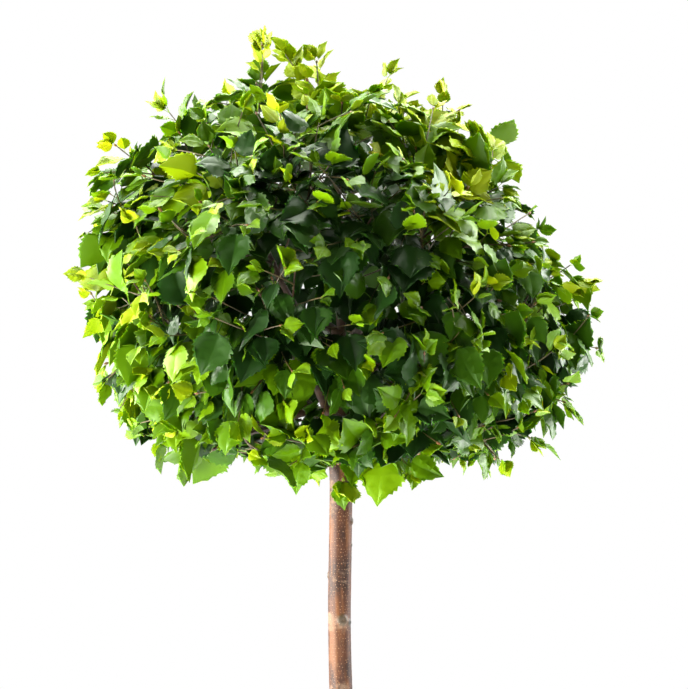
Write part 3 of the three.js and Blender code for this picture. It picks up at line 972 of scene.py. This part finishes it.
def makeTrunk(material):
    bpy.ops.mesh.primitive_grid_add(x_subdivisions=trunk["around"], y_subdivisions=trunk["rows"], size=1)
    obj = bpy.context.object
    obj.name = obj.data.name = "trunk_bark"
    for vertex in obj.data.vertices:
        azimuth = (vertex.co.x + 0.5) * math.tau
        height = (vertex.co.y + 0.5) * trunkTop
        vertex.co = stemPoint(height, azimuth, barkLift(height, azimuth))
    mendMesh(obj, 0.00001, 45, fillEnds=True)
    obj.data.materials.append(material)
    return obj


def strongest(values):
    most = values[0]
    for value in values[1:]:
        most = most.maths("MAXIMUM", value)
    return most


def barkMaterial(name, look, marks=()):
    sheet = Sheet(name)
    film = sheet.grain(16, 5, 1.5, 0.65)
    blotch = sheet.grain(30, 3, 0.7)
    streaks = sheet.grain(95, 3, 0.14)
    specks = sheet.grain(420, 2, 0.6)
    base = sheet.mix(sheet.between(blotch, 0.36, 0.62), look["deep"], look["warm"])
    base = sheet.mix(sheet.between(streaks, 0.48, 0.70) * 0.55, base, look["pale"])
    base = sheet.mix(sheet.between(specks, 0.60, 0.72) * 0.5, base, look["pale"])
    grey = sheet.between(film, look["filmFrom"], look["filmFrom"] + 0.10) * look["film"]
    base = sheet.mix(grey * (0.5 + specks * 0.8), base, look["grey"])
    if marks:
        at = sheet.place()
        healed, dark = [], []
        for spot, size, knot in marks:
            far = sheet.node("VectorMath", {"operation": "DISTANCE"}, {0: at, 1: spot}, 1)
            far = far + (specks - 0.5) * (size * 0.8)
            healed.append((1 - sheet.between(far, size * 0.6, size * 1.05)) * 0.8)
            dark.append((1 - sheet.between(far, size * 0.3, size * 0.8)) * knot)
        base = sheet.mix(strongest(healed) * (0.6 + specks * 0.6), base, look["scar"])
        base = sheet.mix(strongest(dark), base, look["knot"])
    rough = 0.46 + grey * 0.3 + streaks * 0.10
    height = streaks * 0.5 + specks * 0.5 + grey * 0.6
    return sheet.finish(Base_Color=base, Roughness=rough, Specular_IOR_Level=0.3,
                        Normal=sheet.bump(height, 0.45, 0.0005))


stemLook = {"deep": (0.020, 0.006, 0.002), "warm": (0.064, 0.019, 0.005), "pale": (0.185, 0.068, 0.018),
            "grey": (0.240, 0.160, 0.105), "scar": (0.070, 0.060, 0.038), "knot": (0.007, 0.006, 0.005),
            "filmFrom": 0.55, "film": 0.60}
# the boughs' and twigs' bark, made about half as bright for the shade inside the crown: painted shade
shadedBoughLook = {"deep": (0.016, 0.008, 0.005), "warm": (0.046, 0.020, 0.010), "pale": (0.095, 0.050, 0.026),
             "grey": (0.105, 0.078, 0.058), "filmFrom": 0.55, "film": 0.45}


# Lenticels

lenticel = {
    "rowGap": 0.0048, "aroundGap": 0.0041, "size": 0.00046, "wide": 1.25, "rise": 0.0003,
    "from": 0.012, "below": 0.03, "share": 0.82,
}


def dotShape():  # a low six-sided dome of radius 1, facing +Z
    rim = [(math.cos(a), math.sin(a), 0) for a in np.arange(6) * math.pi / 3]
    points = [(0, 0, 0.5), *rim, (0, 0, -0.6)]
    faces = [[0, 1 + j, 1 + (j + 1) % 6] for j in range(6)]
    faces += [[7, 1 + (j + 1) % 6, 1 + j] for j in range(6)]
    return np.array(points), faces, [0] * 12


def makeLenticels(material):
    places = []
    rows = int((trunkTop - lenticel["below"] - lenticel["from"]) / lenticel["rowGap"])
    for i in range(rows):
        height = lenticel["from"] + i * lenticel["rowGap"]
        around = round(math.tau * stemRadius(height) / lenticel["aroundGap"])
        for j in range(around):
            key = i * 31 + j
            if chance(key, 31) > lenticel["share"]:
                continue
            azimuth = math.tau * (j + 0.5 * (i % 2) + scatter(key, 32, 0.5)) / around
            z = height + scatter(key, 33, 0.5 * lenticel["rowGap"])
            out = np.array([math.cos(azimuth), math.sin(azimuth), 0])
            size = lenticel["size"] * (0.55 + 0.75 * chance(key, 34))
            level = np.cross(up, out)
            turn = np.stack([level * size * lenticel["wide"], up * size, out * lenticel["rise"]], axis=1)
            places.append((turn, np.array(stemPoint(z, azimuth, barkLift(z, azimuth)))))
    obj = linked("lenticels", copiesMesh("lenticels", dotShape(), places))
    obj.data.materials.append(material)
    print(f"lenticels: {len(places)}")
    return obj


# The tree

boughs = growBoughs()
stems, shoots = growTwigs()
rooted = fillBareSpots(stems, shoots)
shoots.extend(growLongShoots(rooted))
shoots.extend(growSprouts())
print(f"limbs: {len(boughs)} boughs, {len(stems)} stems, {len(shoots)} twigs")

scarMarks = [(tuple(stemPoint(height, math.radians(azimuth))), size, knot)
             for height, azimuth, size, knot in scars]
stemBark = barkMaterial("stem_bark", stemLook, scarMarks)
boughBark = barkMaterial("bough_bark", shadedBoughLook)

trunkPiece = makeTrunk(stemBark)
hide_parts("trunk")
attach(trunkPiece, "root")

dotPiece = makeLenticels(Sheet("lenticel").finish(Base_Color=(0.30, 0.17, 0.09, 1), Roughness=0.7))
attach(dotPiece, "root")

old = [one for one in shoots if one["base"] >= twig["base"]]
young = [one for one in shoots if one["base"] < twig["base"]]
tan = Sheet("young_bark").finish(Base_Color=(*twig["youngColour"], 1), Roughness=0.5)
boughPiece = limbPiece("boughs_bark", boughs, bough, boughBark, 12)
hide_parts(*boughNodes)
twigPiece = limbPiece("twigs_bark", stems + old, twig, boughBark)
youngPiece = limbPiece("young_twigs", young, twig, tan)
print("wood done")

budPiece = makeBuds(shoots, Sheet("bud").finish(Base_Color=(*bud["colour"], 1), Roughness=0.4))
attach(boughPiece, "root")
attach(twigPiece, "root")
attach(youngPiece, "root")
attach(budPiece, "root")

leafObjects = leafPieces(shoots)
for piece in leafObjects:
    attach(piece, "root")
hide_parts(*leafNodes)
print("leaves done")


# Stage, light and camera

studio = {
    "floorRadius": 1.7, "floorColour": (0.80, 0.80, 0.79), "air": 0.036,
    "eye": (0.004, -3.2, 1.126), "lens": 124.0, "sensor": 36,
}


def makeStage():
    bpy.ops.mesh.primitive_circle_add(vertices=96, radius=studio["floorRadius"], fill_type="NGON")
    floor = bpy.context.object
    floor.name = "floor"
    grey = Sheet("floor").finish(Base_Color=(*studio["floorColour"], 1), Roughness=0.9)
    floor.data.materials.append(grey)


def makeAir():  # white to the eye, softer as a light
    world = bpy.data.worlds.new("air")
    scene.world = world
    world.use_nodes = True
    nodes, links = world.node_tree.nodes, world.node_tree.links
    seen = nodes["Background"]
    seen.inputs["Color"].default_value = (1, 1, 1, 1)
    soft = nodes.new("ShaderNodeBackground")
    soft.inputs["Color"].default_value = (0.95, 0.98, 1, 1)
    soft.inputs["Strength"].default_value = studio["air"]
    ray = nodes.new("ShaderNodeLightPath")
    mixer = nodes.new("ShaderNodeMixShader")
    links.new(ray.outputs["Is Camera Ray"], mixer.inputs[0])
    links.new(soft.outputs[0], mixer.inputs[1])
    links.new(seen.outputs[0], mixer.inputs[2])
    links.new(mixer.outputs[0], nodes["World Output"].inputs[0])


def softLight(name, spot, size, power, colour=(1, 1, 1), aim=(0, 0, growth["waist"])):
    light = bpy.data.lights.new(name, "AREA")
    light.shape = "SQUARE"
    light.size = size
    light.energy = power
    light.color = colour
    obj = linked(name, light)
    obj.location = spot
    obj.rotation_euler = (Vector(aim) - Vector(spot)).to_track_quat("-Z", "Y").to_euler()


makeStage()
makeAir()
softLight("left", (-2.7, 0.55, 1.6), 2.4, 385, (1, 0.99, 0.94))
softLight("right", (2.5, 0.9, 2.0), 2.4, 300)
softLight("key", (-1.5, -2.0, 3.0), 0.7, 9, (1, 0.99, 0.94))
softLight("top", (-0.1, 0.8, 3.2), 2.4, 270, (1, 1, 0.96))
softLight("back", (0.2, 2.4, 1.6), 1.8, 25)
softLight("lowLeft", (-1.9, -1.15, 0.35), 1.0, 148, (1, 0.98, 0.92))
softLight("lowRight", (1.6, 0.5, 0.12), 0.8, 14)
softLight("floorGlow", (0.4, -1.3, 0.10), 1.0, 25, aim=(0.1, -0.1, 1.1))

camera = bpy.data.cameras.new("camera")
camera.lens = studio["lens"]
camera.sensor_width = studio["sensor"]
eye = linked("camera", camera)
eye.location = studio["eye"]
eye.rotation_euler = (math.radians(90), 0, 0)
scene.camera = eye
scene.view_settings.view_transform = "Standard"
print("scene done")
